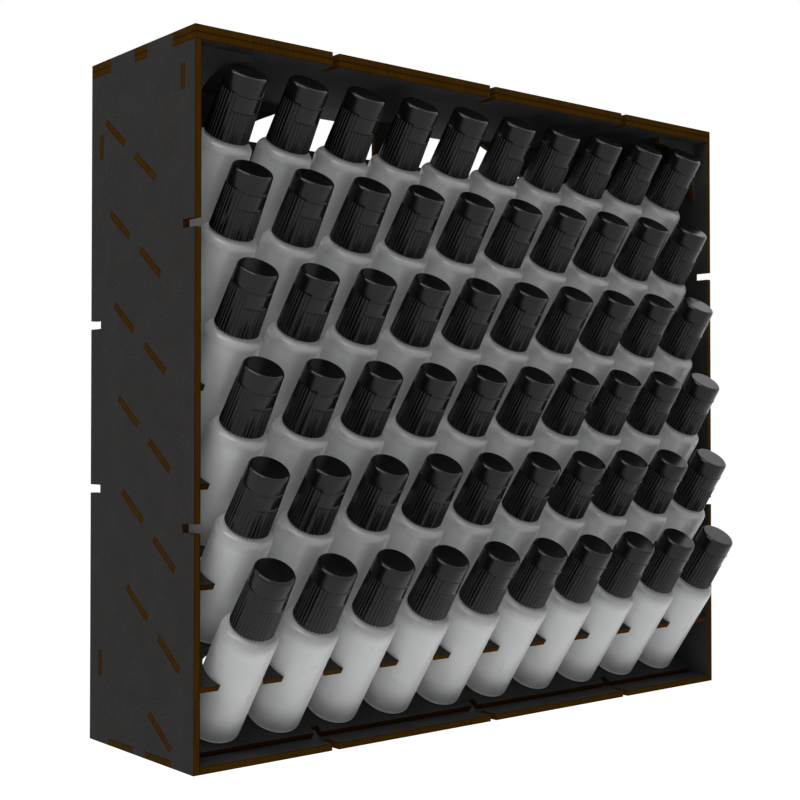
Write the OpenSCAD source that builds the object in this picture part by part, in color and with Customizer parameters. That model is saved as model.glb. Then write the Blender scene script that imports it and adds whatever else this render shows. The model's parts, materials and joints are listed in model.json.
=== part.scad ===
// Hobby workstation organizer: a slotted sheet rack that holds six tilted rows
// of small paint bottles with dropper nozzles and screw caps.
// X runs along the rack, Y runs from the front to the back, Z runs up.
// The origin is the middle of the rack's footprint, on the surface it stands on.

/* [Sheet] */
// Thickness of the cut sheet that the whole rack is made of
sheet_t = 3; // [2.5:0.1:3.6]
// Play on each side of a tab in its slot
slot_play = 0.05; // [0.02:0.01:0.1]

/* [Shelves] */
// Tilt of the shelves, front edge down
shelf_tilt = 35; // [32:0.5:37]
// Distance between the top faces of two shelves, square to them
row_spacing = 30.8; // [30:0.1:33]
// Solid land between the foot of a bottle and the hole in front of it
seat_land = 0.5; // [0.3:0.1:1.2]
// Distance from a shelf's front edge to the centres of its holes
hole_setback = 8.1; // [7:0.1:9]
// Difference between a hole and the bottle that stands in it
hole_play = 2; // [1:0.1:2.4]
// Solid land between two holes of a shelf
hole_land = 4.1; // [3.5:0.1:7]
// Distance from a side's inner face to the centre of the first hole
end_margin = 20.6; // [19:0.1:26]
// Distance from a shelf's front edge to its front tab
front_tab_setback = 11.6; // [9:0.1:14]
// Plain edge between the front tab and the rear tab
tab_gap = 11; // [8:0.1:13]
// Length of a shelf's tab
shelf_tab = 21; // [18:0.1:22]

/* [Base shelf] */
// Lip of the base shelf in front of the bottles that stand on it
base_lip = 2.1; // [1.4:0.1:3]
// Length of the base shelf, front edge to rear edge
base_len = 31.4; // [30:0.1:36]
// Distance from the base shelf's front edge to its tab
base_tab_setback = 5.3; // [4:0.1:7]
// Side of the square notches in the base shelf's front edge
base_notch = 4; // [3:0.1:5]

/* [Case] */
// Distance from the rack's front to the lowest shelf's front edge
front_setback = 0.5; // [0.3:0.1:3]
// Space between the top shelf and the back frame
back_gap = 1.5; // [0.4:0.1:4]
// Distance of the gussets from the front and back edges of the rack
frame_inset = 8; // [6:0.1:10]
// Headroom between the highest cap and the top
head_room = 5; // [4.6:0.1:12]
// Length of the joint fingers at the corners of the sides
corner_finger = 17.5; // [15:0.1:20]
// Length of the joint finger in the middle of the sides
centre_finger = 10.5; // [8:0.1:13]
// Height of a clip notch in an edge of a side
side_notch = 3.7; // [3:0.1:4.5]
// Width of a clip notch in the front edge of the top and the bottom
panel_notch = 3.6; // [3:0.1:4.5]
// Depth of every clip notch
notch_depth = 9; // [7:0.1:11]
// Distance between the clip notches of the top and the bottom
notch_pitch = 93; // [80:1:100]

/* [Gussets and post] */
// Length of a front gusset along the top
front_gusset_w = 30; // [28:0.5:34]
// Height of a front gusset
front_gusset_h = 31.5; // [30:0.5:34]
// Radius of a front gusset's inner edge
front_gusset_r = 28.5; // [26:0.5:30]
// Length of a back gusset along the top or bottom
back_gusset_w = 96; // [86:1:110]
// Height of a back gusset
back_gusset_h = 66; // [60:1:76]
// Radius of a back gusset's inner edge
back_gusset_r = 235; // [200:5:260]
// Distance of a front gusset's tabs from its corner
front_tab_place = 13.5; // [12:0.1:16]
// Distance of a back gusset's tabs from its corner
back_tab_place = 31.8; // [28:0.1:36]
// Length of a gusset's tab
gusset_tab = 11; // [9:0.1:13]
// Width of the post in the middle of the back
post_w = 20; // [16:0.5:26]
// Width of the post's tabs
post_tab = 10; // [8:0.5:14]

/* [Bottle] */
// Diameter of a bottle
bottle_d = 25; // [23:0.1:26]
// Height of a bottle's shoulder over its foot
shoulder_h = 53.8; // [52:0.1:55]
// Rounding of the shoulder
shoulder_r = 4; // [3:0.1:4.5]
// Rounding of the foot
foot_r = 1.5; // [1:0.1:2]
// Play between the foot and the shelf that it stands on
foot_play = 0.01; // [0.01:0.01:0.03]
// Wall of the bottle
bottle_wall = 1.1; // [0.8:0.1:1.4]
// Diameter of the neck
neck_d = 15.8; // [15:0.1:16.4]
// Height of the neck over the shoulder
neck_h = 13; // [12:0.1:14]
// Wall of the neck
neck_wall = 1.6; // [1.3:0.1:2]

/* [Dropper nozzle] */
// Length of the plug inside the neck
plug_h = 7; // [6:0.1:9]
// Thickness of the collar on the neck's rim
collar_t = 1; // [0.8:0.1:1.2]
// Width of the neck's rim that the collar leaves bare
collar_inset = 0.9; // [0.6:0.1:1.2]
// Height of the nozzle's tip over the collar
tip_h = 12.5; // [11:0.1:13]
// Diameter of the tip at the collar
tip_root_d = 7; // [6:0.1:7.4]
// Diameter of the tip's end
tip_end_d = 3; // [2.6:0.1:3.6]
// Diameter of the drop channel
channel_d = 1.2; // [0.8:0.1:1.6]
// Wall of the nozzle's plug
plug_wall = 1; // [0.8:0.1:1.2]
// Play between the plug and the neck
plug_play = 0.05; // [0.02:0.01:0.1]

/* [Screw cap] */
// Diameter of the cap's skirt
cap_d = 19.6; // [19.2:0.1:20.6]
// Diameter of the cap's top
cap_top_d = 17.8; // [17:0.1:18.4]
// Length of the cap
cap_h = 28.7; // [28.2:0.1:30]
// Rounding of the cap's top edge
cap_r = 0.9; // [0.5:0.1:1.4]
// Gap between the shoulder and the cap's lower edge
cap_gap = 0.4; // [0.2:0.1:1]
// Running clearance between the neck and the cap
cap_play = 0.06; // [0.03:0.01:0.1]
// Play above the nozzle's collar
collar_play = 0.3; // [0.2:0.1:0.6]
// Clearance round the nozzle's tip
tip_play = 0.7; // [0.5:0.1:0.9]
// Thickness of the cap's end
cap_end_t = 1.5; // [1.2:0.1:1.8]

/* [Hidden] */
$fn = 48;

// Counts: rows 1 to 6 run from the top down, and the base shelf is row 7
columns = 10;
lowest_row = 6;
base_row = 7;
// Heights of the clip notches in the sides, as shares of the rack's height
front_notch_shares = [0.326, 0.735];
back_notch_shares = [0.37, 0.612];
// Widths of the gussets' ends, where the curved edge meets the arms
front_end_w = 3;
front_end_h = 1.5;
back_end_w = 1.5;
back_end_h = 2;
overrun = 1;
sheet_colour = [0.17, 0.17, 0.17];
shelf_colour = [0.2, 0.2, 0.2];
bottle_colour = [0.8, 0.81, 0.82];
nozzle_colour = [0.93, 0.93, 0.92];
cap_colour = [0.08, 0.08, 0.08];

// Shelves and rows
hole_d = bottle_d + hole_play;
hole_pitch = hole_d + hole_land;
row_shift = bottle_d / 2 + hole_d / 2 + seat_land;
row_step_y = row_shift * cos(shelf_tilt) - row_spacing * sin(shelf_tilt);
row_step_z = row_shift * sin(shelf_tilt) + row_spacing * cos(shelf_tilt);
rear_tab_setback = front_tab_setback + shelf_tab + tab_gap;
shelf_len = rear_tab_setback + shelf_tab;
base_setback = hole_setback + row_shift - bottle_d / 2 - base_lip;
base_row_z = sheet_t + sheet_t * cos(shelf_tilt) - base_setback * sin(shelf_tilt);

// Case
inner_w = 2 * end_margin + (columns - 1) * hole_pitch;
rack_w = inner_w + 2 * sheet_t;
shelf_run = shelf_len * cos(shelf_tilt) + sheet_t * sin(shelf_tilt);
rows_depth = (lowest_row - 1) * row_step_y;
rack_d = front_setback + rows_depth + shelf_run + back_gap + sheet_t + frame_inset;
front_y = -rack_d / 2;
back_y = rack_d / 2;
finger_gap = (rack_d - 2 * corner_finger - centre_finger) / 2;
first_gap_y = corner_finger;
second_gap_y = corner_finger + finger_gap + centre_finger;
front_frame_y = front_y + frame_inset;
back_frame_y = back_y - frame_inset - sheet_t;

// Bottle, measured from its foot
neck_r = neck_d / 2;
neck_bore_r = neck_r - neck_wall;
neck_top_h = shoulder_h + neck_h;
collar_top_h = neck_top_h + collar_t;
tip_top_h = collar_top_h + tip_h;
cap_low_h = shoulder_h + cap_gap;
cap_top_h = cap_low_h + cap_h;
cap_bore_r = neck_r + cap_play;
cap_bore_top_h = collar_top_h + collar_play;

function row_y(row) = front_y + front_setback + (lowest_row - row) * row_step_y;
function row_z(row) = base_row_z + (base_row - row) * row_step_z;
function hole_x(column) = (column - (columns + 1) / 2) * hole_pitch;

cap_over_shelf = cap_top_h - row_spacing;
cap_crest = hole_setback * sin(shelf_tilt) + cap_over_shelf * cos(shelf_tilt)
    + cap_top_d / 2 * sin(shelf_tilt);
top_z = row_z(1) + cap_crest + head_room;
rack_h = top_z + 2 * sheet_t;

// Places children in a row's own axes: Y along the shelf from its front edge to its rear,
// Z square to the shelf from its top face
module on_row(row) {
    translate([0, row_y(row), row_z(row)])
        rotate([shelf_tilt, 0, 0])
            children();
}

// Children and their mirror image across the middle of the rack
module both_sides() {
    children();
    mirror([1, 0, 0])
        children();
}

// Outline of a shelf's slot in a side: a row's tab seen from the side
module tab_slot(row, setback) {
    translate([row_y(row) - front_y, row_z(row)])
        rotate(shelf_tilt)
            translate([setback - slot_play, -sheet_t - slot_play])
                square([shelf_tab + 2 * slot_play, sheet_t + 2 * slot_play]);
}

// Slot in a side for a gusset's tab, centred at a height
module gusset_slot(y, height) {
    translate([y - front_y - slot_play, height - gusset_tab / 2 - slot_play])
        square([sheet_t + 2 * slot_play, gusset_tab + 2 * slot_play]);
}

// Outline of a side: depth runs right and height runs up
module side_outline() {
    difference() {
        square([rack_d, rack_h]);
        translate([-overrun, top_z])
            square([overrun + corner_finger + slot_play, 2 * sheet_t + overrun]);
        translate([rack_d - corner_finger - slot_play, top_z])
            square([corner_finger + slot_play + overrun, 2 * sheet_t + overrun]);
        translate([corner_finger + finger_gap - slot_play, top_z])
            square([centre_finger + 2 * slot_play, 2 * sheet_t + overrun]);
        for (start = [first_gap_y, second_gap_y])
            translate([start - slot_play, -overrun])
                square([finger_gap + 2 * slot_play, sheet_t + overrun]);
        for (row = [1 : lowest_row])
            for (setback = [front_tab_setback, rear_tab_setback])
                tab_slot(row, setback);
        tab_slot(base_row, base_setback + base_tab_setback);
        gusset_slot(front_frame_y, top_z - front_tab_place);
        gusset_slot(back_frame_y, top_z - back_tab_place);
        gusset_slot(back_frame_y, sheet_t + back_tab_place);
        for (share = front_notch_shares)
            translate([-overrun, share * rack_h - side_notch / 2])
                square([notch_depth + overrun, side_notch]);
        for (share = back_notch_shares)
            translate([rack_d - notch_depth, share * rack_h - side_notch / 2])
                square([notch_depth + overrun, side_notch]);
    }
}

module left_side() {
    color(sheet_colour)
        translate([-rack_w / 2, front_y, 0])
            rotate([90, 0, 90])
                linear_extrude(sheet_t)
                    side_outline();
}

module right_side() {
    color(sheet_colour)
        translate([rack_w / 2 - sheet_t, front_y, 0])
            rotate([90, 0, 90])
                linear_extrude(sheet_t)
                    side_outline();
}

// Three clip notches in the front edge of the top or the bottom
module panel_notches() {
    for (step = [-1 : 1])
        translate([step * notch_pitch - panel_notch / 2, front_y - overrun])
            square([panel_notch, notch_depth + overrun]);
}

// Outline of a top sheet, with fingers at the corners and in the middle of its ends
module top_outline() {
    difference() {
        translate([-rack_w / 2, front_y])
            square([rack_w, rack_d]);
        both_sides()
            for (start = [first_gap_y, second_gap_y])
                translate([inner_w / 2, front_y + start])
                    square([sheet_t + overrun, finger_gap]);
        panel_notches();
    }
}

// Outline of the bottom, with two fingers in each end
module bottom_outline() {
    difference() {
        union() {
            translate([-inner_w / 2, front_y])
                square([inner_w, rack_d]);
            for (start = [first_gap_y, second_gap_y])
                translate([-rack_w / 2, front_y + start])
                    square([rack_w, finger_gap]);
        }
        panel_notches();
    }
}

// Slots for the back frame's tabs, as seen from above
module back_frame_slots() {
    translate([-post_tab / 2 - slot_play, back_frame_y - slot_play])
        square([post_tab + 2 * slot_play, sheet_t + 2 * slot_play]);
    both_sides()
        translate([inner_w / 2 - back_tab_place - gusset_tab / 2 - slot_play, back_frame_y - slot_play])
            square([gusset_tab + 2 * slot_play, sheet_t + 2 * slot_play]);
}

// Slots for the front gussets' tabs, as seen from above
module front_frame_slots() {
    both_sides()
        translate([inner_w / 2 - front_tab_place - gusset_tab / 2 - slot_play, front_frame_y - slot_play])
            square([gusset_tab + 2 * slot_play, sheet_t + 2 * slot_play]);
}

module top_panel_outer() {
    color(sheet_colour)
        translate([0, 0, top_z + sheet_t])
            linear_extrude(sheet_t)
                top_outline();
}

module top_panel_inner() {
    color(sheet_colour)
        translate([0, 0, top_z])
            linear_extrude(sheet_t)
                difference() {
                    top_outline();
                    back_frame_slots();
                    front_frame_slots();
                }
}

module bottom_panel() {
    color(sheet_colour)
        linear_extrude(sheet_t)
            difference() {
                bottom_outline();
                back_frame_slots();
            }
}

// A shelf with a row of holes that break out through its front edge
module shelf(row) {
    color(shelf_colour)
        on_row(row)
            translate([0, 0, -sheet_t])
                linear_extrude(sheet_t)
                    difference() {
                        union() {
                            translate([-inner_w / 2, 0])
                                square([inner_w, shelf_len]);
                            for (setback = [front_tab_setback, rear_tab_setback])
                                translate([-rack_w / 2, setback])
                                    square([rack_w, shelf_tab]);
                        }
                        for (column = [1 : columns])
                            translate([hole_x(column), hole_setback])
                                circle(d = hole_d);
                    }
}

// The plain shelf that the lowest row stands on
module base_shelf() {
    color(shelf_colour)
        on_row(base_row)
            translate([0, base_setback, -sheet_t])
                linear_extrude(sheet_t)
                    difference() {
                        union() {
                            translate([-inner_w / 2, 0])
                                square([inner_w, base_len]);
                            translate([-rack_w / 2, base_tab_setback])
                                square([rack_w, shelf_tab]);
                        }
                        for (step = [-1 : 1])
                            translate([step * notch_pitch - base_notch / 2, -overrun])
                                square([base_notch, base_notch + overrun]);
                    }
}

// Outline of a corner gusset: the corner is at zero, one arm runs right, the other runs up,
// and the inner edge is an arc through the two arms' ends
module gusset_outline(w, h, end_w, end_h, r, tab_place) {
    chord_x = w - end_h;
    chord_y = h - end_w;
    chord = norm([chord_x, chord_y]);
    reach = sqrt(r * r - chord * chord / 4);
    centre_x = (w + end_h) / 2 + reach * chord_y / chord;
    centre_y = (h + end_w) / 2 + reach * chord_x / chord;
    difference() {
        square([w, h]);
        translate([centre_x, centre_y])
            circle(r = r, $fn = 180);
    }
    translate([-sheet_t, tab_place - gusset_tab / 2])
        square([sheet_t, gusset_tab]);
    translate([tab_place - gusset_tab / 2, -sheet_t])
        square([gusset_tab, sheet_t]);
}

// Stands an outline up as a sheet, with its front face at a depth
module upright_sheet(y) {
    translate([0, y + sheet_t, 0])
        rotate([90, 0, 0])
            linear_extrude(sheet_t)
                children();
}

module front_gussets() {
    color(sheet_colour)
        both_sides()
            upright_sheet(front_frame_y)
                translate([-inner_w / 2, top_z])
                    mirror([0, 1])
                        gusset_outline(front_gusset_w, front_gusset_h, front_end_w, front_end_h,
                            front_gusset_r, front_tab_place);
}

module back_gussets() {
    color(sheet_colour)
        both_sides()
            upright_sheet(back_frame_y) {
                translate([-inner_w / 2, top_z])
                    mirror([0, 1])
                        gusset_outline(back_gusset_w, back_gusset_h, back_end_w, back_end_h,
                            back_gusset_r, back_tab_place);
                translate([-inner_w / 2, sheet_t])
                    gusset_outline(back_gusset_w, back_gusset_h, back_end_w, back_end_h,
                        back_gusset_r, back_tab_place);
            }
}

module back_post() {
    color(sheet_colour)
        upright_sheet(back_frame_y)
            union() {
                translate([-post_w / 2, sheet_t])
                    square([post_w, top_z - sheet_t]);
                translate([-post_tab / 2, 0])
                    square([post_tab, top_z + sheet_t]);
            }
}

// Half of a round body's section with a rounded foot and a rounded shoulder
module round_section(r, low, high, low_r, high_r) {
    translate([0, low])
        square([r - low_r, high - low]);
    translate([0, low + low_r])
        square([r, high - low - low_r - high_r]);
    translate([r - low_r, low + low_r])
        circle(r = low_r);
    translate([0, low])
        square([r - high_r, high - low]);
    translate([r - high_r, high - high_r])
        circle(r = high_r);
}

// Hollow bottle with a straight neck
module bottle() {
    rotate_extrude()
        difference() {
            union() {
                round_section(bottle_d / 2, 0, shoulder_h, foot_r, shoulder_r);
                translate([0, shoulder_h - shoulder_r])
                    square([neck_r, shoulder_r + neck_h]);
            }
            round_section(bottle_d / 2 - bottle_wall, bottle_wall, shoulder_h - bottle_wall,
                foot_r - bottle_wall / 2, shoulder_r - bottle_wall);
            translate([0, shoulder_h / 2])
                square([neck_bore_r, shoulder_h / 2 + neck_h + overrun]);
        }
}

// Dropper nozzle: an open plug, a collar on the neck's rim and a tapered tip
module nozzle() {
    plug_r = neck_bore_r - plug_play;
    rotate_extrude()
        difference() {
            union() {
                translate([0, neck_top_h - plug_h])
                    square([plug_r, plug_h]);
                translate([0, neck_top_h])
                    square([neck_r - collar_inset, collar_t]);
                polygon([
                    [0, collar_top_h],
                    [tip_root_d / 2, collar_top_h],
                    [tip_end_d / 2, tip_top_h],
                    [0, tip_top_h]
                ]);
            }
            translate([0, neck_top_h - plug_h - overrun])
                square([plug_r - plug_wall, plug_h + overrun]);
            translate([0, neck_top_h - overrun])
                square([channel_d / 2, overrun + collar_t + tip_h + overrun]);
        }
}

// Tapered screw cap with a rounded top edge, open below
module cap() {
    tip_room_r = tip_root_d / 2 + tip_play;
    rotate_extrude()
        difference() {
            union() {
                polygon([
                    [0, cap_low_h],
                    [cap_d / 2, cap_low_h],
                    [cap_top_d / 2, cap_top_h - cap_r],
                    [0, cap_top_h - cap_r]
                ]);
                translate([0, cap_top_h - cap_r])
                    square([cap_top_d / 2 - cap_r, cap_r]);
                translate([cap_top_d / 2 - cap_r, cap_top_h - cap_r])
                    circle(r = cap_r);
            }
            translate([0, cap_low_h - overrun])
                square([cap_bore_r, cap_bore_top_h - cap_low_h + overrun]);
            translate([0, cap_low_h])
                square([tip_room_r, cap_h - cap_end_t]);
        }
}

// Places a piece of a bottle in one hole of a row, its foot on the shelf below
module in_hole(row, column) {
    on_row(row)
        translate([hole_x(column), hole_setback, foot_play - row_spacing])
            children();
}

// One piece of every bottle in a row
module along_row(row) {
    for (column = [1 : columns])
        in_hole(row, column)
            children();
}

module bottles_row(row) {
    color(bottle_colour)
        along_row(row)
            bottle();
}

module nozzles_row(row) {
    color(nozzle_colour)
        along_row(row)
            nozzle();
}

module caps_row(row) {
    color(cap_colour)
        along_row(row)
            cap();
}

module single_bottle(column) {
    color(bottle_colour)
        in_hole(lowest_row, column)
            bottle();
}

module single_nozzle(column) {
    color(nozzle_colour)
        in_hole(lowest_row, column)
            nozzle();
}

module single_cap(column) {
    color(cap_colour)
        in_hole(lowest_row, column)
            cap();
}

left_side();
right_side();
top_panel_outer();
top_panel_inner();
bottom_panel();
base_shelf();
front_gussets();
back_gussets();
back_post();
for (row = [1 : lowest_row])
    shelf(row);
for (row = [1 : lowest_row - 1]) {
    bottles_row(row);
    nozzles_row(row);
    caps_row(row);
}
for (column = [1 : columns]) {
    single_bottle(column);
    single_nozzle(column);
    single_cap(column);
}
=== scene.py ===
"""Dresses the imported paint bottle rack: sheet finishes, milky bottles, ribbed caps and a plain studio."""
import json
import math

import bmesh
import bpy
from bpy.props import FloatProperty, FloatVectorProperty, IntProperty, PointerProperty
from mathutils import Matrix, Vector


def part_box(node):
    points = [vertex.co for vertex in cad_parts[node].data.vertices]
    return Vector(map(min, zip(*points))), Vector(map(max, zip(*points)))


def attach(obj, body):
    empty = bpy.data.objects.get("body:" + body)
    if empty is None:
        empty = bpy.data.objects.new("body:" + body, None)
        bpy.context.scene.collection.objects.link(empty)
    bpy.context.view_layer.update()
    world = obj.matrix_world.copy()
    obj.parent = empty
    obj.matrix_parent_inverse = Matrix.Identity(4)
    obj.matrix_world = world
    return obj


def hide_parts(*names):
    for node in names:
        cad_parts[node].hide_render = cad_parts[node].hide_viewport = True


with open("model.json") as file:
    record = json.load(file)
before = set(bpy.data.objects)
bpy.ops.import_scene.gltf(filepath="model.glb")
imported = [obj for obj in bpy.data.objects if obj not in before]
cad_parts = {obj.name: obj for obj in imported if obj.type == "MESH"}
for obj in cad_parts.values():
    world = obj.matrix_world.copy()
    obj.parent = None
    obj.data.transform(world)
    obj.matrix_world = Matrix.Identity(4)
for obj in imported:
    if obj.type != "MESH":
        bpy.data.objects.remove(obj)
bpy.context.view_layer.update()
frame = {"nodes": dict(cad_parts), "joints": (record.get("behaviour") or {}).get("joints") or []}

bl_info = {
    "name": "Paint Bottle Rack",
    "version": (1, 0, 0),
    "blender": (4, 5, 0),
    "location": "3D View > Sidebar > Bottle Rack",
    "description": "Dresses a slotted sheet rack with its dropper bottles and screw caps",
    "category": "Object",
}

COLUMNS = 10
LOWEST_ROW = 6
FULL_ROWS = range(1, LOWEST_ROW)
COLUMN_NUMBERS = range(1, COLUMNS + 1)

SIDE_SHEETS = ("left_side", "right_side")
FLAT_SHEETS = ("top_panel_outer", "top_panel_inner", "bottom_panel")
TILTED_SHEETS = tuple(f"shelf_{row}" for row in range(1, LOWEST_ROW + 1)) + ("base_shelf",)
UPRIGHT_SHEETS = ("front_gussets", "back_gussets", "back_post")

BOTTLE_SEGMENTS, CAP_SEGMENTS, PAD_SEGMENTS, RIB_SIDES = 56, 80, 14, 8
SHOULDER_STEPS, INNER_SHOULDER_STEPS, FOOT_STEPS, INNER_FOOT_STEPS, CAP_EDGE_STEPS = 9, 5, 7, 3, 6
CRISP_ANGLE = 50
FRONT = 1.5 * math.pi

# Shares of the radius inside the foot's rounding and of the hollow's height, from the middle outwards.
HOLLOW_PROFILE = ((0, 1), (0.55, 0.95), (0.82, 0.6))
FOOT_ARC_START = -100
CAP_BEVEL = 0.00025
# Heights of the skirt's rings as shares of its height, and then how much of a rib's depth it is still sunk.
SKIRT_RINGS = (0.012, 0.03, 0.25, 0.5, 0.75, 0.96, 0.98)
BAND_RINGS = ((1, 0.75), (1.02, 0.25), (1.04, 0.04))
TOP_RING = 0.45
# A bead's section: height in bead sizes from its middle, and share of its rise.
BEAD_PROFILE = ((-1.4, 0), (-1, 0), (-0.6, 0.7), (-0.1, 1), (0.4, 0.93), (0.8, 0.68), (1.1, 0.3), (1.3, 0),
                (1.7, 0))
# The pad's depths in rib depths, and how far it starts below its lower bead in bead sizes.
PAD_SINK, PAD_BACK, PAD_START = 0.35, 3, 2
UPPER_BEAD_SINK = 0.3

# Heights over the foot where the painted shade above the foot starts, is full and has faded.
PAINTED_FOOT_SHADE_START, PAINTED_FOOT_SHADE_FULL, PAINTED_FOOT_SHADE_END = 0.001, 0.0022, 0.015
SEAM_HALF_WIDTH = 0.00012

WHITE = (1, 1, 1, 1)
FLOOR_REACH = 30.0
FLOOR_SHARE_SEEN = 0.22
BACKDROP_STRENGTH = 0.99
LAMP_PLACE, LAMP_TARGET, LAMP_SIZE, LAMP_POWER = (-0.72, -0.56, 1.45), (0, 0, 0.15), (1.3, 0.2), 11
SENSOR_WIDTH = 36.0
NEAREST, FARTHEST = 0.01, 100.0


# ---------------------------------------------------------------- places

def joint_named(name):
    """The frame's joint of that name."""
    return next(joint for joint in frame["joints"] if joint["name"] == name)


def bottle_axis():
    """The direction that every bottle stands in."""
    return Vector(joint_named("bottle_1_lift")["axis"]).normalized()


def tilt_angle():
    """The shelves' tilt: how far a bottle leans towards the user."""
    axis = bottle_axis()
    return math.atan2(-axis.y, axis.z)


def stretch_of(node, column=1):
    """A piece's lowest and highest point along its bottle's axis from the foot, and its radius."""
    foot, axis = Vector(joint_named(f"cap_{column}_unscrew")["pos_m"]), bottle_axis()
    places = [point.co - foot for point in frame["nodes"][node].data.vertices]
    heights = [place.dot(axis) for place in places]
    radius = max((place - axis * height).length for place, height in zip(places, heights))
    return round(min(heights), 6), round(max(heights), 6), round(radius, 6)


def foot_of(row, column):
    """Middle of the foot of one bottle."""
    foot = Vector(joint_named(f"cap_{column}_unscrew")["pos_m"]) + bottle_axis() * BOTTLE_LOW
    if row == LOWEST_ROW:
        return foot
    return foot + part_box(f"bottles_row_{row}")[0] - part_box("bottle_1")[0]


def column_pitch():
    """Distance between two neighbouring bottles of a row."""
    return (foot_of(LOWEST_ROW, COLUMNS) - foot_of(LOWEST_ROW, 1)).x / (COLUMNS - 1)


BOTTLE_LOW, NECK_TOP, BOTTLE_RADIUS = stretch_of("bottle_1")
CAP_LOW, CAP_TOP, CAP_RADIUS = stretch_of("cap_1")
CAP_GAP = 0.0004
SHOULDER = round(CAP_LOW - CAP_GAP - BOTTLE_LOW, 5)


# ---------------------------------------------------------------- sizes and colours

def length(name, description, default, low=0.0):
    return FloatProperty(name=name, description=description, default=default, min=low,
                         subtype="DISTANCE", unit="LENGTH", precision=5)


def colour(name, description, default):
    return FloatVectorProperty(name=name, description=description, default=default, size=3,
                               min=0.0, max=1.0, subtype="COLOR")


def factor(name, description, default):
    return FloatProperty(name=name, description=description, default=default, min=0.0, max=1.0,
                         subtype="FACTOR")


def slant(name, description, degrees):
    return FloatProperty(name=name, description=description, default=math.radians(degrees),
                         subtype="ANGLE", unit="ROTATION")


class RackSheetSettings(bpy.types.PropertyGroup):
    face: colour("Face", "Colour of the sheet's faces", (0.042, 0.0404, 0.0395))
    edge: colour("Cut edge", "Colour of the edges that the laser leaves", (0.063, 0.0268, 0.0018))
    # Char is also the colour of the painted shade along both faces of every cut edge.
    char: colour("Char", "Colour of the darkest streaks in a cut edge", (0.011, 0.006, 0.002))
    streak: length("Streak spacing", "Distance between two streaks in a cut edge", 0.0009)
    fibre: length("Fibre size", "Size of the fibres in a face", 0.0005)
    cloud: length("Cloud size", "Size of the soft blotches in a face", 0.014)


class RackBottleSettings(bpy.types.PropertyGroup):
    diameter: length("Diameter", "Diameter of a bottle", 2 * BOTTLE_RADIUS)
    shoulder: length("Shoulder height", "Height of the shoulder over the foot", SHOULDER)
    shoulder_round: length("Shoulder rounding", "Rounding of the shoulder", 0.0036)
    shoulder_slope: slant("Shoulder slope", "Fall of the shoulder away from the neck", 20)
    foot_round: length("Foot rounding", "Rounding of the foot", 0.0015)
    punt: length("Foot hollow", "Height of the hollow under the foot", 0.0009)
    wall: length("Wall", "Thickness of the wall", 0.0011)
    neck: length("Neck diameter", "Diameter of the neck", 0.0158)
    neck_height: length("Neck height", "Height of the neck over the shoulder",
                        NECK_TOP - BOTTLE_LOW - SHOULDER)
    neck_wall: length("Neck wall", "Thickness of the neck's wall", 0.0016)
    plastic: colour("Plastic", "Colour of the milky plastic", (0.66, 0.665, 0.67))
    # The foot band is painted shade: a dark band above the foot, not a colour of the plastic.
    band: colour("Foot band", "Colour of the band above the foot", (0.2, 0.205, 0.21))
    nozzle: colour("Nozzle", "Colour of the dropper nozzle", (0.78, 0.78, 0.76))


class RackCapSettings(bpy.types.PropertyGroup):
    diameter: length("Skirt diameter", "Diameter over the ribs at the skirt's edge", 2 * CAP_RADIUS)
    top: length("Top diameter", "Diameter at the top", 0.0178)
    height: length("Height", "Length of the cap", CAP_TOP - CAP_LOW)
    gap: length("Gap", "Gap between the bottle's shoulder and the cap", CAP_GAP)
    bore: length("Bore", "Diameter of the threaded room", 0.01592)
    bore_height: length("Bore height", "Height of the threaded room", 0.0139)
    tip_room: length("Tip room", "Diameter of the room for the nozzle's tip", 0.0084)
    end: length("End", "Thickness of the cap's end", 0.0015)
    rounding: length("Rounding", "Rounding of the top edge", 0.0014)
    ribs: IntProperty(name="Ribs", description="Ribs round the skirt", default=36, min=3)
    rib_depth: length("Rib depth", "How far a rib stands out", 0.00032)
    rib_radius: length("Rib radius", "Radius of a rib", 0.00056)
    band: factor("Smooth band", "Share of the height that the smooth top band takes", 0.28)
    pad: factor("Pad foot", "Share of the height down to the foot of the front pad", 0.52)
    pad_span: slant("Pad span", "Angle from the front pad's middle to its side", 38)
    bead: length("Bead", "Half the height of the beads at the front pad's ends", 0.0004)
    bead_rise: length("Bead rise", "How far a bead stands out from the pad", 0.00028)
    plastic: colour("Plastic", "Colour of the cap's plastic", (0.004, 0.004, 0.0042))


class RackStageSettings(bpy.types.PropertyGroup):
    floor: colour("Floor", "Colour of the floor", (0.9, 0.9, 0.9))
    sky: factor("Light from above", "Strength of the light from straight above", 0.055)
    rim: factor("Light from the sides", "Strength of the light from the horizon", 0.205)
    glow: factor("Light from below", "Strength of the light that the floor adds", 0.42)
    camera_place: FloatVectorProperty(name="Camera", description="Where the camera stands",
                                      default=(-0.45588, -0.52503, 0.13942), size=3, subtype="TRANSLATION",
                                      unit="LENGTH", precision=5)
    yaw: slant("Yaw", "How far the camera is turned to the right", 39.646)
    pitch: slant("Pitch", "How far the camera looks up", 1.005)
    lens: FloatProperty(name="Lens", description="Focal length on a 36 mm wide sensor", default=62.98,
                        min=1.0)


# ---------------------------------------------------------------- meshes

def turned(radius, height, angle):
    """A point at a radius and a height, turned about Z."""
    return radius * math.cos(angle), radius * math.sin(angle), height


def mesh_from(name, work):
    """Ends work on a mesh and returns it."""
    mesh = bpy.data.meshes.new(name)
    work.to_mesh(mesh)
    work.free()
    return mesh


def add_object(name, data):
    """Links a new object to the scene."""
    made = bpy.data.objects.new(name, data)
    bpy.context.scene.collection.objects.link(made)
    return made


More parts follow.
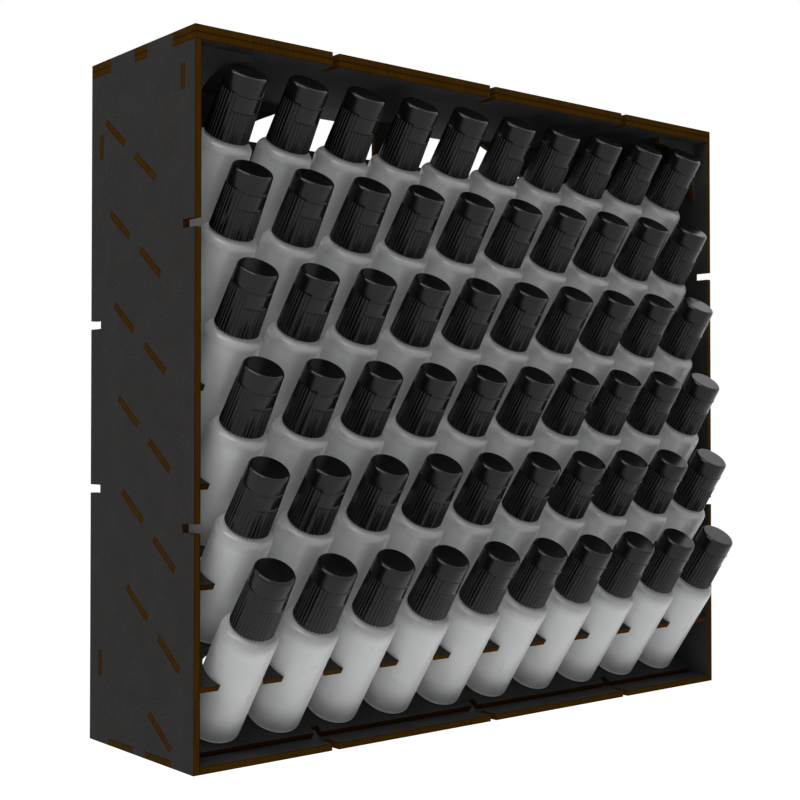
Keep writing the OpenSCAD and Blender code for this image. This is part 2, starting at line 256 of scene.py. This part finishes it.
def revolved(name, outline, segments):
    """A closed mesh turned about Z from an outline of (radius, height) points that runs anticlockwise:
    from the axis below, up the outside, and back down the inside or to the axis above."""
    work = bmesh.new()
    turns = [2 * math.pi * step / segments for step in range(segments)]
    rings = []
    for radius, height in outline:
        angles = turns if radius else [0]
        rings.append([work.verts.new(turned(radius, height, angle)) for angle in angles])
    for low, high in zip(rings, rings[1:]):
        for step in range(segments):
            after = (step + 1) % segments
            if len(low) == 1:
                work.faces.new((low[0], high[after], high[step]))
            elif len(high) == 1:
                work.faces.new((low[step], low[after], high[0]))
            else:
                work.faces.new((low[step], low[after], high[after], high[step]))
    return mesh_from(name, work)


def arc(centre_r, centre_h, radius, start, end, steps):
    """Points on an arc of an outline, with its angles in degrees from straight out."""
    angles = [math.radians(start + (end - start) * step / steps) for step in range(steps + 1)]
    return [(centre_r + radius * math.cos(a), centre_h + radius * math.sin(a)) for a in angles]


def shoulder_arc(size, inward, neck_r, steps):
    """Points up the rounding between a bottle's wall and its sloping shoulder, or that far inward."""
    round_r, slope = size.shoulder_round - inward, size.shoulder_slope
    centre_r = size.diameter / 2 - size.shoulder_round
    corner_r = centre_r + round_r * math.sin(slope)
    centre_h = size.shoulder - inward - (corner_r - neck_r) * math.tan(slope) - round_r * math.cos(slope)
    return arc(centre_r, centre_h, round_r, 0, 90 - math.degrees(slope), steps)


def bottle_outline(size):
    """Outline of a hollow bottle, its foot at height zero."""
    r, wall, shoulder = size.diameter / 2, size.wall, size.shoulder
    neck_r, rim = size.neck / 2, size.shoulder + size.neck_height
    bore_r, foot_r, crease = neck_r - size.neck_wall, size.foot_round, wall / 4
    inner_foot = foot_r - wall / 2
    outside = shoulder_arc(size, 0, neck_r, SHOULDER_STEPS)
    inside = shoulder_arc(size, wall, bore_r, INNER_SHOULDER_STEPS)
    points = [((r - foot_r) * out, size.punt * up) for out, up in HOLLOW_PROFILE]
    points += arc(r - foot_r, foot_r, foot_r, FOOT_ARC_START, 0, FOOT_STEPS)
    points += [(r, foot_r + crease * 2), (r, outside[0][1] - crease * 2)] + outside
    points += [(neck_r + crease, shoulder), (neck_r, shoulder + crease)]
    points += [(neck_r, rim - crease), (neck_r - crease, rim)]
    points += [(bore_r + crease, rim), (bore_r, rim - crease)]
    points += [(bore_r, shoulder - wall + crease), (bore_r + crease, shoulder - wall)] + inside[::-1]
    points += arc(r - wall - inner_foot, size.punt + wall + inner_foot, inner_foot, 0, -90, INNER_FOOT_STEPS)
    return points + [(0, size.punt + wall)]


def cap_radius(size, height):
    """Radius over the ribs at a height over the cap's lower edge."""
    share = height / (size.height - size.rounding)
    return size.diameter / 2 + (size.top - size.diameter) / 2 * share


def cap_outline(size):
    """Outline of a cap without its ribs, its lower edge at height zero: first the room inside."""
    depth, bevel = size.rib_depth, CAP_BEVEL
    skirt_top, edge = size.height * (1 - size.band), size.height - size.rounding
    bore_r, tip_r, roof = size.bore / 2, size.tip_room / 2, size.height - size.end
    points = [(0, roof), (tip_r - bevel, roof), (tip_r, roof - bevel), (tip_r, size.bore_height),
              (bore_r - bevel, size.bore_height), (bore_r, size.bore_height - bevel)]
    points += [(bore_r, bevel), (bore_r + bevel, 0), (cap_radius(size, 0) - depth - bevel, 0)]
    for share, sink in [(share, 1) for share in SKIRT_RINGS] + list(BAND_RINGS):
        points.append((cap_radius(size, skirt_top * share) - depth * sink, skirt_top * share))
    points += [(cap_radius(size, (skirt_top + edge) / 2), (skirt_top + edge) / 2)]
    points += arc(cap_radius(size, edge) - size.rounding, edge, size.rounding, 0, 90, CAP_EDGE_STEPS)
    flat_r = cap_radius(size, edge) - size.rounding - bevel
    return points + [(flat_r, size.height), (flat_r * TOP_RING, size.height), (0, size.height)]


def bead(size, height, out):
    """Points up a fine half-round bead, as (height, distance from the plain cap)."""
    return [(height + size.bead * up, out + size.bead_rise * rise) for up, rise in BEAD_PROFILE]


def pad_outline(size):
    """Closed outline of the front pad's section, sunk into the shell behind, with a bead along its foot
    and another where it meets the smooth band."""
    depth, sunk = size.rib_depth, size.rib_depth * PAD_SINK
    low, high = size.height * (1 - size.pad), size.height * (1 - size.band)
    steps = [(low - size.bead * PAD_START, -depth)]
    steps += bead(size, low, -sunk) + bead(size, high, -sunk * UPPER_BEAD_SINK)
    face = [(cap_radius(size, height) + out, height) for height, out in steps]
    behind = [(cap_radius(size, height) - depth * PAD_BACK, height) for height, _ in (steps[-1], steps[0])]
    return face + behind


def swept_patch(name, section, middle, half_angle, steps):
    """A closed mesh of a section swept about Z over part of a turn."""
    work = bmesh.new()
    rows = []
    for step in range(steps + 1):
        angle = middle - half_angle + 2 * half_angle * step / steps
        rows.append([work.verts.new(turned(radius, height, angle)) for radius, height in section])
    count = len(section)
    for first, second in zip(rows, rows[1:]):
        for number in range(count):
            after = (number + 1) % count
            work.faces.new((first[number], second[number], second[after], first[after]))
    work.faces.new(rows[0])
    work.faces.new(list(reversed(rows[-1])))
    bmesh.ops.recalc_face_normals(work, faces=work.faces)
    return mesh_from(name, work)


def joined(name, *meshes):
    """One mesh from several."""
    work = bmesh.new()
    for mesh in meshes:
        work.from_mesh(mesh)
    return mesh_from(name, work)


def keep_own_place(mesh):
    """Stores each point's place in the piece's own axes, for materials that follow the piece."""
    own = mesh.attributes.new("own", "FLOAT_VECTOR", "POINT")
    for point, value in zip(mesh.vertices, own.data):
        value.vector = point.co


def shade_by_angle(mesh, degrees):
    """Smooth shading with the edges sharper than an angle kept crisp."""
    work = bmesh.new()
    work.from_mesh(mesh)
    for edge in work.edges:
        edge.smooth = edge.is_manifold and edge.calc_face_angle(0) < math.radians(degrees)
    for face in work.faces:
        face.smooth = True
    work.to_mesh(mesh)
    work.free()


# ---------------------------------------------------------------- nodes

class Number:
    """A number from a node that takes part in plain arithmetic."""

    def __init__(self, tree, socket):
        self.tree, self.socket = tree, socket

    def _with(self, operation, first, second=0.0):
        return self.tree.number("ShaderNodeMath", {0: first, 1: second}, operation=operation)

    def __add__(self, other):
        return self._with("ADD", self, other)

    __radd__ = __add__

    def __mul__(self, other):
        return self._with("MULTIPLY", self, other)

    __rmul__ = __mul__

    def __sub__(self, other):
        return self._with("SUBTRACT", self, other)

    def __rsub__(self, other):
        return self._with("SUBTRACT", other, self)

    def __truediv__(self, other):
        return self._with("DIVIDE", self, other)

    def __rtruediv__(self, other):
        return self._with("DIVIDE", other, self)

    def __lt__(self, other):
        return self._with("LESS_THAN", self, other)

    def __gt__(self, other):
        return self._with("GREATER_THAN", self, other)

    def __abs__(self):
        return self._with("ABSOLUTE", self)

    def between(self, low, high):
        """0 below low, 1 above high, and a soft ramp between."""
        return self.tree.number("ShaderNodeMapRange", {"Value": self, "From Min": low, "From Max": high},
                                interpolation_type="SMOOTHSTEP")


class NodeTree:
    """Nodes under construction, for a shape, a finish or the light."""

    def __init__(self, node_tree):
        self.nodes, self.links = node_tree.nodes, node_tree.links
        self.nodes.clear()

    def node(self, kind, inputs=(), **settings):
        """Adds a node: its settings first, then the values or links of its sockets."""
        node = self.nodes.new(kind)
        for name, value in settings.items():
            setattr(node, name, value)
        for key, value in dict(inputs).items():
            value = value.socket if isinstance(value, Number) else value
            if isinstance(value, bpy.types.NodeSocket):
                self.links.new(value, node.inputs[key])
            else:
                node.inputs[key].default_value = value
        return node

    def number(self, kind, inputs=(), output=0, **settings):
        """Adds a node and returns one of its outputs, ready for arithmetic."""
        return Number(self, self.node(kind, inputs, **settings).outputs[output])

    def either(self, first, *others):
        """The largest of several masks."""
        for other in others:
            first = self.number("ShaderNodeMath", {0: first, 1: other}, operation="MAXIMUM")
        return first


# ---------------------------------------------------------------- Geometry Nodes

class FormTree(NodeTree):
    """A Geometry Nodes group under construction."""

    def __init__(self, name):
        self.group = bpy.data.node_groups.new(name, "GeometryNodeTree")
        super().__init__(self.group)
        for way in ("INPUT", "OUTPUT"):
            self.group.interface.new_socket("Geometry", in_out=way, socket_type="NodeSocketGeometry")
        self.start = self.node("NodeGroupInput")
        self.identifiers = {}

    def given(self, name, kind):
        """Adds a named input, which grown() sets, and returns it inside the tree."""
        item = self.group.interface.new_socket(name, in_out="INPUT", socket_type="NodeSocket" + kind)
        self.identifiers[name] = item.identifier
        socket = self.start.outputs[name]
        return Number(self, socket) if kind in ("Float", "Int") else socket

    def finish(self, geometry, material):
        """Ends the tree in Realize Instances and Set Material."""
        real = self.node("GeometryNodeRealizeInstances", {"Geometry": geometry})
        painted = self.node("GeometryNodeSetMaterial", {"Geometry": real.outputs[0], "Material": material})
        self.node("NodeGroupOutput", {0: painted.outputs[0]})
        return self


def row_tree():
    """Sets copies of a piece along a shelf, each leaning with the row."""
    tree = FormTree("along_the_shelf")
    count = tree.given("Count", "Int")
    pitch = tree.given("Pitch", "Float")
    first = tree.given("First foot", "Vector")
    lean = tree.given("Lean", "Float")
    material = tree.given("Finish", "Material")
    offset = tree.node("ShaderNodeCombineXYZ", {"X": pitch})
    line = tree.node("GeometryNodeMeshLine", {"Count": count, "Start Location": first,
                                              "Offset": offset.outputs[0]}, mode="OFFSET")
    turn = tree.node("ShaderNodeCombineXYZ", {"X": lean})
    placed = tree.node("GeometryNodeInstanceOnPoints", {"Points": line.outputs[0],
                                                        "Instance": tree.start.outputs[0],
                                                        "Rotation": turn.outputs[0]})
    return tree.finish(placed.outputs[0], material)


def rib_tree():
    """Stands ribs round a cap's skirt and cuts them short under the front pad."""
    tree = FormTree("ribs_round_the_skirt")
    count = tree.given("Ribs", "Int")
    radius = tree.given("Rib radius", "Float")
    low_r = tree.given("Radius below", "Float")
    taper = tree.given("Taper", "Float")
    tall = tree.given("Rib height", "Float")
    short = tree.given("Short rib height", "Float")
    span = tree.given("Pad span", "Float")
    material = tree.given("Finish", "Material")
    rib = tree.node("GeometryNodeMeshCylinder", {"Vertices": RIB_SIDES, "Radius": radius, "Depth": 1.0},
                    fill_type="NGON")
    stood = tree.node("GeometryNodeTransform", {"Geometry": rib.outputs["Mesh"],
                                                "Translation": (0, 0, 0.5)})
    circle = tree.node("GeometryNodeMeshCircle", {"Vertices": count, "Radius": low_r})
    angle = tree.number("GeometryNodeInputIndex") / count * (2 * math.pi)
    under_pad = abs(angle - FRONT) < span
    height = tall + under_pad * (short - tall)
    size = tree.node("ShaderNodeCombineXYZ", {"X": 1.0, "Y": 1.0, "Z": height})
    turn = tree.node("ShaderNodeCombineXYZ", {"Y": taper * -1.0, "Z": angle})
    placed = tree.node("GeometryNodeInstanceOnPoints", {"Points": circle.outputs[0],
                                                        "Instance": stood.outputs[0],
                                                        "Rotation": turn.outputs[0],
                                                        "Scale": size.outputs[0]})
    whole = tree.node("GeometryNodeJoinGeometry")
    for part in (tree.start, placed):
        tree.links.new(part.outputs[0], whole.inputs[0])
    return tree.finish(whole.outputs[0], material)


def grown(name, mesh, tree, values):
    """Runs a tree on a mesh and returns the result as a plain mesh."""
    holder = add_object(name + "_form", mesh)
    nodes = holder.modifiers.new("Nodes", "NODES")
    nodes.node_group = tree.group
    for key, value in values.items():
        nodes[tree.identifiers[key]] = value
    holder.update_tag()
    evaluated = holder.evaluated_get(bpy.context.evaluated_depsgraph_get())
    made = bpy.data.meshes.new_from_object(evaluated)
    made.name = name
    bpy.data.objects.remove(holder)
    return made


def stand_in_for(nodes, name, mesh, body):
    """Links a finished mesh as the piece that stands for CAD nodes and moves with their body."""
    piece = add_object(name, mesh)
    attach(piece, body)
    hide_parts(*nodes)
    return piece


def set_out(stem, single, mesh, material):
    """Sets a piece of every bottle: one mesh for each full row, one for each bottle of the lowest row."""
    tree, lean, pitch = row_tree(), tilt_angle(), column_pitch()
    places = [(f"{stem}_{row}", COLUMNS, foot_of(row, 1), f"bottle_row_{row}") for row in FULL_ROWS]
    places += [(f"{single}_{column}", 1, foot_of(LOWEST_ROW, column), f"{single}_{column}")
               for column in COLUMN_NUMBERS]
    for node, count, first, body in places:
        made = grown(node, mesh, tree, {"Count": count, "Pitch": pitch, "First foot": first, "Lean": lean,
                                        "Finish": material})
        stand_in_for([node], f"dressed_{node}", made, body)


# ---------------------------------------------------------------- materials

def shaded(colour_given, share):
    """A colour made darker or lighter."""
    return tuple(value * share for value in colour_given)


class Finish(NodeTree):
    """A material under construction."""

    def __init__(self, name):
        self.material = bpy.data.materials.new(name)
        self.material.use_nodes = True
        super().__init__(self.material.node_tree)

    def place(self, rotation=(0, 0, 0), scale=(1, 1, 1)):
        """Object coordinates, turned and scaled."""
        own = self.node("ShaderNodeTexCoord").outputs["Object"]
        return self.node("ShaderNodeMapping", {"Vector": own, "Rotation": rotation,
                                               "Scale": scale}).outputs[0]

    def own_place(self):
        """The three numbers of the place that keep_own_place stored."""
        own = self.node("ShaderNodeAttribute", attribute_name="own").outputs["Vector"]
        parts = self.node("ShaderNodeSeparateXYZ", {0: own}).outputs
        return [Number(self, part) for part in parts]

    def noise(self, where, scale, detail, roughness):
        """Soft noise about 0.5."""
        return self.number("ShaderNodeTexNoise", {"Vector": where, "Scale": scale, "Detail": detail,
                                                  "Roughness": roughness})

    def mix(self, share, first, second):
        """A colour between two colours."""
        first = (*first, 1.0) if isinstance(first, tuple) else first
        second = (*second, 1.0) if isinstance(second, tuple) else second
        return self.node("ShaderNodeMix", {0: share, 6: first, 7: second}, data_type="RGBA").outputs[2]

    def bump(self, height, distance, strength):
        """A normal that follows a height."""
        return self.node("ShaderNodeBump", {"Height": height, "Distance": distance,
                                            "Strength": strength}).outputs[0]

    def surface(self, **inputs):
        """Ends the material in one Principled surface."""
        named = {key.replace("_", " ").title().replace("Ior", "IOR"): value
                 for key, value in inputs.items()}
        shader = self.node("ShaderNodeBsdfPrincipled", named)
        self.node("ShaderNodeOutputMaterial", {"Surface": shader.outputs[0]})
        return self.material


def sheet_finish(name, settings, normal, turn):
    """Laser-cut fibreboard: dark mottled faces, and brown cut edges with char streaks across the thickness,
    darkened along both faces by painted shade that stands for the shadowed gaps round tabs and slots.
    The turn lays the sheet flat, so its thickness runs along Z."""
    finish = Finish(name)
    facing = finish.node("ShaderNodeTexCoord").outputs["Normal"]
    along = finish.number("ShaderNodeVectorMath", {0: facing, 1: normal}, output="Value",
                          operation="DOT_PRODUCT")
    edge = abs(along) < 0.5
    flat = finish.place(rotation=turn)
    across = finish.place(rotation=turn, scale=(1, 1, 0.06))
    fibres = finish.noise(flat, 1 / settings.fibre, 3.0, 0.65)
    clouds = finish.noise(flat, 1 / settings.cloud, 2.0, 0.5)
    specks = finish.noise(flat, 0.7 / settings.fibre, 1.0, 0.4).between(0.62, 0.74)
    streaks = finish.noise(across, 1 / settings.streak, 2.0, 0.6)
    burn = finish.noise(across, 0.12 / settings.streak, 1.0, 0.5)
    near_face = abs(finish.number("ShaderNodeAttribute", output="Fac", attribute_name="depth") - 0.5)
    mottle = fibres.between(0.32, 0.68) * 0.85 + clouds.between(0.35, 0.7) * 0.15
    mottled = finish.mix(mottle, shaded(settings.face, 0.6), shaded(settings.face, 1.45))
    mottled = finish.mix(specks * 0.4, mottled, shaded(settings.face, 2.3))
    scorch = 0.6 + streaks.between(0.36, 0.66) * 0.25 + burn.between(0.4, 0.7) * 0.15
    # Painted shade: near both faces the cut edge turns to the char colour, standing for the shadowed gaps
    # round tabs and slots.
    cut = finish.mix(scorch * (1 - near_face.between(0.3, 0.5) * 0.8),
                     tuple(settings.char), shaded(settings.edge, 1.15))
    edge_roughness, grain_depth = 0.7, 0.00008
    return finish.surface(
        base_color=finish.mix(edge, mottled, cut),
        roughness=(1 - edge) * (0.5 + 0.16 * clouds) + edge * edge_roughness,
        specular_ior_level=0.01,
        normal=finish.bump((1 - edge) * fibres + edge * streaks, grain_depth, 0.6))


def bottle_finish(settings):
    """Milky moulded plastic with two parting lines, painted shade above the foot and at the shoulder, and a
    weak painted glow of its own that flattens its shading.
    """
    finish = Finish("milky_plastic")
    x, _, height = finish.own_place()
    here = finish.place()
    cloud = finish.noise(here, 95.0, 2.0, 0.5)
    grain = finish.noise(here, 2600.0, 2.0, 0.6)
    # Painted shade: a dark band above the foot.
    band = (height.between(PAINTED_FOOT_SHADE_START, PAINTED_FOOT_SHADE_FULL)
            * (1 - height.between(PAINTED_FOOT_SHADE_FULL, PAINTED_FOOT_SHADE_END)))
    seam = abs(x) < SEAM_HALF_WIDTH
    top, rounding = settings.shoulder, settings.shoulder_round
    # Painted shade: the shoulder's rounding is darkened to even out the light it catches.
    painted_shoulder_shade = height.between(top - rounding * 2, top - rounding * 0.3)
    milky = finish.mix(band * 0.9, tuple(settings.plastic), tuple(settings.band))
    milky = finish.mix(painted_shoulder_shade * 0.7, milky, shaded(settings.plastic, 0.42))
    milky = finish.mix(cloud.between(0.35, 0.75) * 0.3, milky, shaded(settings.plastic, 0.9))
    scatter, grain_depth = 0.003, 0.00006
    return finish.surface(
        base_color=milky,
        roughness=0.24 + 0.1 * cloud,
        subsurface_weight=1.0, subsurface_radius=(scatter, scatter, scatter), subsurface_scale=1.0,
        ior=1.51,
        # Painted glow: the bottles give off a weak light of their own, though they are no lamp, to flatten
        # their shading.
        emission_color=(0.034, 0.034, 0.0345, 1), emission_strength=1.0,
        normal=finish.bump(grain * 0.3 + seam * 1.0, grain_depth, 0.5))


def nozzle_finish(settings):
    """Natural white moulded plastic."""
    finish = Finish("nozzle_plastic")
    here = finish.place()
    cloud = finish.noise(here, 240.0, 2.0, 0.5)
    grain = finish.noise(here, 3200.0, 2.0, 0.6)
    white, grain_depth = tuple(settings.nozzle), 0.00004
    return finish.surface(
        base_color=finish.mix(cloud.between(0.3, 0.7) * 0.5, white, shaded(white, 0.93)),
        roughness=0.34 + 0.1 * cloud,
        normal=finish.bump(grain, grain_depth, 0.4))


def cap_finish(settings):
    """Black moulded plastic with a faint grain, a little duller on its smooth band."""
    finish = Finish("cap_plastic")
    here = finish.place()
    cloud = finish.noise(here, 160.0, 3.0, 0.6)
    grain = finish.noise(here, 3000.0, 2.0, 0.6)
    black, grain_depth = tuple(settings.plastic), 0.00005
    height = finish.own_place()[2]
    rim = SHOULDER + CAP_GAP + settings.height
    skirt_top = rim - settings.height * settings.band
    smooth = (height.between(skirt_top - 0.003, skirt_top + 0.001)
              * (1 - height.between(rim - 0.0016, rim - 0.001)))
    return finish.surface(
        base_color=finish.mix(cloud.between(0.4, 0.75) * 0.5, black, shaded(black, 1.5)),
        roughness=0.13 + 0.08 * cloud + smooth * 0.12,
        specular_ior_level=0.28,
        normal=finish.bump(grain * 0.5 + cloud * 0.5, grain_depth, 0.35))


def mark_depth(names, normal):
    """Stores on every point of the sheets how far through the sheet it lies, from 0 to 1."""
    for name in names:
        mesh = frame["nodes"][name].data
        heights = [point.co.dot(Vector(normal)) for point in mesh.vertices]
        low, high = min(heights), max(heights)
        depth = mesh.attributes.new("depth", "FLOAT", "POINT")
        for height, value in zip(heights, depth.data):
            value.value = (height - low) / (high - low)


def paint_nodes(names, material):
    """Gives CAD nodes a material in place of their plain one."""
    for name in names:
        mesh = frame["nodes"][name].data
        if not mesh.materials:
            mesh.materials.append(material)
        for number in range(len(mesh.materials)):
            mesh.materials[number] = material


# ---------------------------------------------------------------- operators

class RACK_OT_sheets(bpy.types.Operator):
    """Finish the rack's cut sheets"""
    bl_idname = "rack.sheets"
    bl_label = "Finish Sheets"

    def execute(self, context):
        settings = context.scene.rack_sheets
        for names, title, normal, turn in (
                (SIDE_SHEETS, "side_sheet", (1, 0, 0), (0, -math.pi / 2, 0)),
                (FLAT_SHEETS, "flat_sheet", (0, 0, 1), (0, 0, 0)),
                (TILTED_SHEETS, "shelf_sheet", tuple(bottle_axis()), (-tilt_angle(), 0, 0)),
                (UPRIGHT_SHEETS, "upright_sheet", (0, 1, 0), (math.pi / 2, 0, 0))):
            mark_depth(names, normal)
            paint_nodes(names, sheet_finish(title, settings, normal, turn))
        return {"FINISHED"}


class RACK_OT_bottles(bpy.types.Operator):
    """Make the hollow bottles and finish their nozzles"""
    bl_idname = "rack.bottles"
    bl_label = "Make Bottles"

    def execute(self, context):
        settings = context.scene.rack_bottles
        mesh = revolved("bottle_form", bottle_outline(settings), BOTTLE_SEGMENTS)
        shade_by_angle(mesh, CRISP_ANGLE)
        keep_own_place(mesh)
        set_out("bottles_row", "bottle", mesh, bottle_finish(settings))
        white = nozzle_finish(settings)
        paint_nodes([f"nozzles_row_{row}" for row in FULL_ROWS], white)
        paint_nodes([f"nozzle_{column}" for column in COLUMN_NUMBERS], white)
        return {"FINISHED"}


class RACK_OT_caps(bpy.types.Operator):
    """Make the ribbed screw caps"""
    bl_idname = "rack.caps"
    bl_label = "Make Caps"

    def execute(self, context):
        settings = context.scene.rack_caps
        black = cap_finish(settings)
        shell = revolved("cap_shell", cap_outline(settings), CAP_SEGMENTS)
        pad = swept_patch("cap_pad", pad_outline(settings), -math.pi / 2, settings.pad_span, PAD_SEGMENTS)
        skirt_top = settings.height * (1 - settings.band)
        fall = cap_radius(settings, 0) - cap_radius(settings, skirt_top)
        ribbed = grown("cap_form", joined("cap_body", shell, pad), rib_tree(), {
            "Ribs": settings.ribs, "Rib radius": settings.rib_radius,
            "Radius below": settings.diameter / 2 - settings.rib_radius,
            "Taper": math.atan(fall / skirt_top),
            "Rib height": skirt_top, "Short rib height": settings.height * (1 - settings.pad),
            "Pad span": settings.pad_span, "Finish": black})
        shade_by_angle(ribbed, CRISP_ANGLE)
        lift = context.scene.rack_bottles.shoulder + settings.gap
        ribbed.transform(Matrix.Translation((0, 0, lift)))
        keep_own_place(ribbed)
        set_out("caps_row", "cap", ribbed, black)
        return {"FINISHED"}


class RACK_OT_stage(bpy.types.Operator):
    """Set up the floor, the light and the camera"""
    bl_idname = "rack.stage"
    bl_label = "Set Stage"

    def execute(self, context):
        settings = context.scene.rack_stage
        scene = context.scene
        scene.view_settings.view_transform = "Standard"
        self.add_floor(settings)
        self.add_world(scene, settings)
        self.add_lamp()
        self.add_camera(scene, settings)
        return {"FINISHED"}

    def add_floor(self, settings):
        """A pale floor that the camera and reflections see as white, with the object's shadow kept."""
        mesh = bpy.data.meshes.new("floor")
        corners = [(x * FLOOR_REACH, y * FLOOR_REACH, 0) for x, y in ((-1, -1), (1, -1), (1, 1), (-1, 1))]
        mesh.from_pydata(corners, [], [(0, 1, 2, 3)])
        finish = Finish("pale_floor")
        light = finish.node("ShaderNodeLightPath").outputs
        seen = finish.either(light["Is Camera Ray"], light["Is Glossy Ray"])
        pale = finish.mix(seen, tuple(settings.floor), shaded(settings.floor, FLOOR_SHARE_SEEN))
        lit = finish.node("ShaderNodeBsdfDiffuse", {"Color": pale})
        strength = settings.glow + seen * (BACKDROP_STRENGTH - settings.glow)
        white = finish.node("ShaderNodeEmission", {"Color": WHITE, "Strength": strength})
        both = finish.node("ShaderNodeAddShader", {0: lit.outputs[0], 1: white.outputs[0]})
        finish.node("ShaderNodeOutputMaterial", {"Surface": both.outputs[0]})
        mesh.materials.append(finish.material)
        floor = add_object("floor", mesh)

    def add_world(self, scene, settings):
        """A soft dome of light, seen as white by the camera, reflections and clear pieces."""
        world = bpy.data.worlds.new("plain_studio")
        world.use_nodes = True
        studio = NodeTree(world.node_tree)
        light = studio.node("ShaderNodeLightPath").outputs
        seen = studio.either(light["Is Camera Ray"], light["Is Glossy Ray"], light["Is Transmission Ray"])
        way = studio.node("ShaderNodeTexCoord").outputs["Generated"]
        up = studio.node("ShaderNodeSeparateXYZ", {0: way}).outputs["Z"]
        dome = studio.number("ShaderNodeMapRange", {"Value": up, "To Min": settings.rim,
                                                    "To Max": settings.sky})
        strength = studio.number("ShaderNodeMapRange", {"Value": seen, "To Min": dome, "To Max": 1.0})
        sky = studio.node("ShaderNodeBackground", {"Color": WHITE, "Strength": strength})
        studio.node("ShaderNodeOutputWorld", {"Surface": sky.outputs[0]})
        scene.world = world

    def add_lamp(self):
        """One long soft lamp over the user's left shoulder."""
        lamp = bpy.data.lights.new("key_lamp", "AREA")
        lamp.shape = "RECTANGLE"
        lamp.size, lamp.size_y = LAMP_SIZE
        lamp.energy = LAMP_POWER
        holder = add_object("key_lamp", lamp)
        holder.location = LAMP_PLACE
        aim = Vector(LAMP_TARGET) - Vector(LAMP_PLACE)
        holder.rotation_euler = aim.to_track_quat("-Z", "Y").to_euler()

    def add_camera(self, scene, settings):
        """The photograph's viewing angle."""
        lens = bpy.data.cameras.new("view")
        lens.lens, lens.sensor_width, lens.sensor_fit = settings.lens, SENSOR_WIDTH, "HORIZONTAL"
        lens.clip_start, lens.clip_end = NEAREST, FARTHEST
        camera = add_object("view", lens)
        camera.location = settings.camera_place
        level = math.cos(settings.pitch)
        look = Vector((math.sin(settings.yaw) * level, math.cos(settings.yaw) * level,
                       math.sin(settings.pitch)))
        camera.rotation_euler = look.to_track_quat("-Z", "Y").to_euler()
        scene.camera = camera


class RACK_PT_panel(bpy.types.Panel):
    """Lists the rack's settings and steps"""
    bl_idname = "RACK_PT_panel"
    bl_label = "Paint Bottle Rack"
    bl_space_type = "VIEW_3D"
    bl_region_type = "UI"
    bl_category = "Bottle Rack"

    def draw(self, context):
        for settings_name, operator in STEPS:
            box = self.layout.box()
            settings = getattr(context.scene, settings_name)
            for name in settings.__annotations__:
                box.prop(settings, name)
            box.operator(operator)


STEPS = (
    ("rack_sheets", "rack.sheets"),
    ("rack_bottles", "rack.bottles"),
    ("rack_caps", "rack.caps"),
    ("rack_stage", "rack.stage"),
)
SETTINGS = {
    "rack_sheets": RackSheetSettings,
    "rack_bottles": RackBottleSettings,
    "rack_caps": RackCapSettings,
    "rack_stage": RackStageSettings,
}
CLASSES = (*SETTINGS.values(), RACK_OT_sheets, RACK_OT_bottles, RACK_OT_caps, RACK_OT_stage, RACK_PT_panel)


def register():
    for item in CLASSES:
        bpy.utils.register_class(item)
    for name, kind in SETTINGS.items():
        setattr(bpy.types.Scene, name, PointerProperty(type=kind))


def unregister():
    for name in SETTINGS:
        delattr(bpy.types.Scene, name)
    for item in reversed(CLASSES):
        bpy.utils.unregister_class(item)


def main():
    register()
    bpy.ops.rack.stage()
    bpy.ops.rack.sheets()
    bpy.ops.rack.bottles()
    bpy.ops.rack.caps()


if __name__ == "__main__":
    main()
